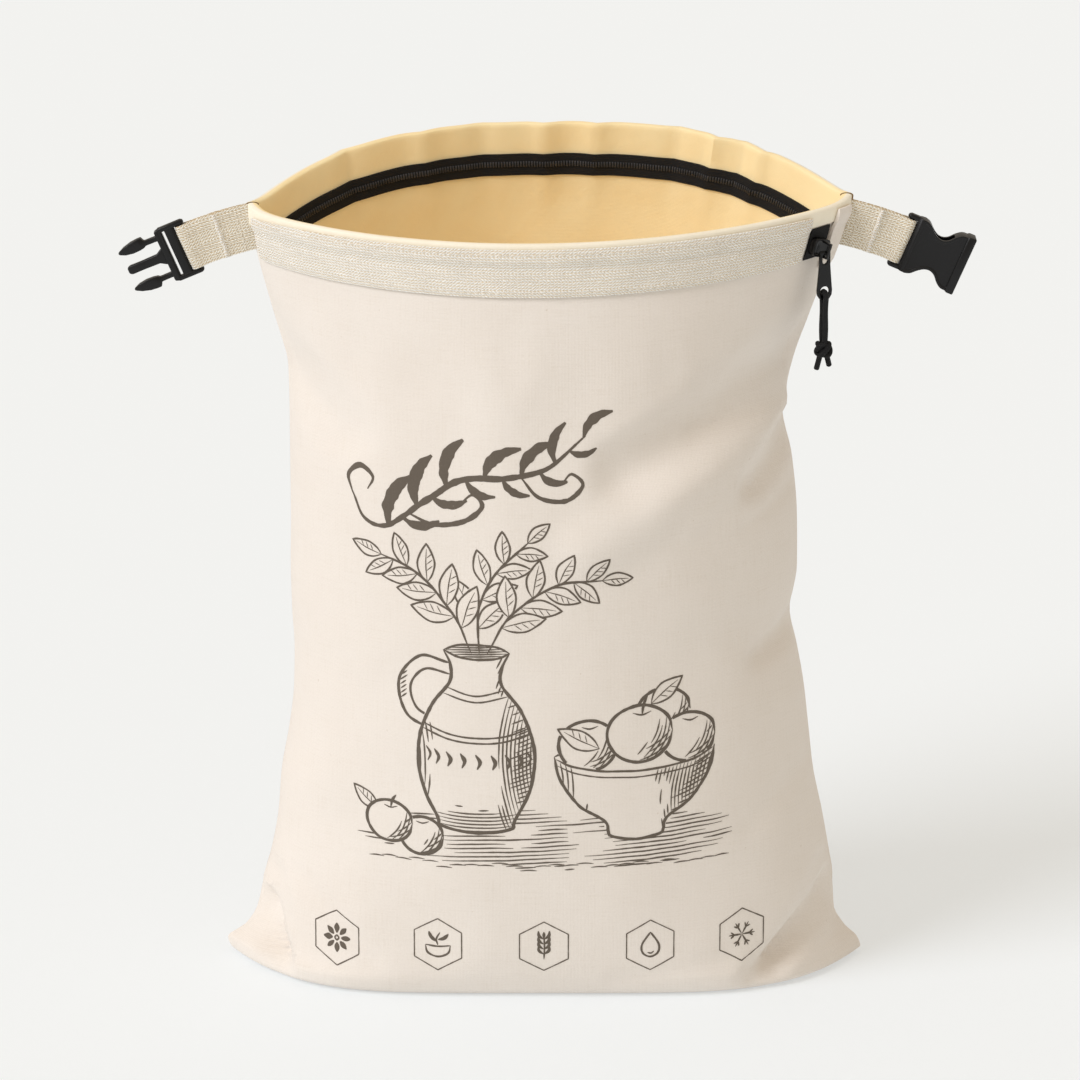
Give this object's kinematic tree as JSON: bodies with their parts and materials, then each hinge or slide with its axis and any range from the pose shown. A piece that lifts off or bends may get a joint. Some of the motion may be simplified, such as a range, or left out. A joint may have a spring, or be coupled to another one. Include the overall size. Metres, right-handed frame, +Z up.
{
  "type": "roll-top bread bag",
  "caption": "Cream canvas bread bag with a pale yellow coated lining, standing filled out with its mouth open, webbing straps and side-release buckle, zip pull on a cord.",
  "frame": {"origin": "on the floor under the middle of the whole part's box, straps and buckle included", "axes": "+X to the right seen from the front, along the mouth; -Y to the printed front; +Z up"},
  "size_m": [0.4567, 0.1757, 0.4544],
  "materials": {
    "canvas": "plain woven natural cotton canvas, matt, printed with thin grey-brown line ornament",
    "coated_lining": "pale yellow cotton with a thin satin waterproof coating",
    "webbing": "ribbed natural cotton webbing, matt",
    "zip_tape": "black woven zip tape with a nylon coil",
    "buckle_plastic": "black moulded acetal, fine satin grain",
    "zip_metal": "black enamelled zinc, semi-gloss",
    "cord": "black braided polyester cord"
  },
  "bodies": {
    "root": {"canvas_body": "canvas", "lining": "coated_lining", "rim_webbing": "webbing", "side_tab": "canvas", "strap_left": "webbing", "strap_right": "webbing", "buckle_prongs": "buckle_plastic", "buckle_socket": "buckle_plastic", "zip_tape_back": "zip_tape", "zip_tape_front": "zip_tape", "zip_end": "zip_tape", "zip_slider": "zip_metal", "zip_pull": "zip_metal", "pull_cord": "cord", "cord_knot": "cord"}
  },
  "joints": []
}
